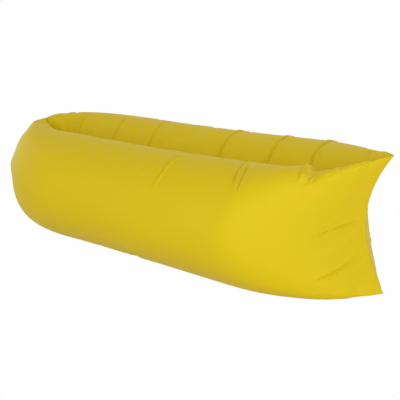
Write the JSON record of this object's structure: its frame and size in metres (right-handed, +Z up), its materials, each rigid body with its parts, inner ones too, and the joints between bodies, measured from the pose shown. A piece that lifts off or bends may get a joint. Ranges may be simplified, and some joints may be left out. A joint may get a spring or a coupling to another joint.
{
  "type": "inflatable air lounger",
  "caption": "Lounger bag of air-filled cloth tubes joined side by side, with a sewn upright end and a mouth rolled up and clipped to a loop.",
  "frame": {"origin": "centre of the footprint's bounding box, on the ground plane that the tubes lie on", "axes": "+X along the tubes to the sewn end, +Y to the far tube, +Z up"},
  "size_m": [1.8792, 0.8634, 0.5184],
  "materials": {
    "shell_cloth": "plain-woven coated nylon with a low sheen",
    "liner_film": "clear film, slightly milky",
    "seam_tape": "woven tape",
    "stiffener_strip": "smooth",
    "webbing": "woven webbing",
    "bartack_thread": "dense zigzag stitching",
    "buckle_plastic": "fine moulded grain"
  },
  "bodies": {
    "bag": {"near_tube_shell": "shell_cloth", "far_tube_shell": "shell_cloth", "near_air_liner": "liner_film", "far_air_liner": "liner_film", "centre_join_tape": "seam_tape", "closed_end_seam_tape": "seam_tape"},
    "closure_loop": {"mouth_roll": "shell_cloth", "mouth_stiffener": "stiffener_strip", "socket_webbing_tab": "webbing", "plug_webbing_tab": "webbing", "socket_tab_bartack": "bartack_thread", "plug_tab_bartack": "bartack_thread", "buckle_socket": "buckle_plastic"},
    "plug": {"buckle_plug": "buckle_plastic"},
    "prong_near": {"buckle_prong_near": "buckle_plastic"},
    "prong_far": {"buckle_prong_far": "buckle_plastic"}
  },
  "joints": [
    {"name": "closure_swing", "type": "hinge", "parent": "bag", "child": "closure_loop", "pos_m": [-0.80065, 0, 0.167], "axis": [0, 0, 1], "range_deg": [-45, 45], "stiffness_Nm_per_rad": 0.05},
    {"name": "buckle_release", "type": "slide", "parent": "closure_loop", "child": "plug", "axis": [0, 0, 1], "range_m": [0, 0.027], "deforming": ["plug_webbing_tab", "buckle_prong_near", "buckle_prong_far"]},
    {"name": "prong_squeeze_near", "type": "hinge", "parent": "plug", "child": "prong_near", "pos_m": [-0.92065, -0.0095, 0.1616], "axis": [1, 0, 0], "range_deg": [0, 10], "stiffness_Nm_per_rad": 2},
    {"name": "prong_squeeze_far", "type": "hinge", "parent": "plug", "child": "prong_far", "pos_m": [-0.92065, 0.0095, 0.1616], "axis": [-1, 0, 0], "range_deg": [0, 10], "stiffness_Nm_per_rad": 2}
  ]
}
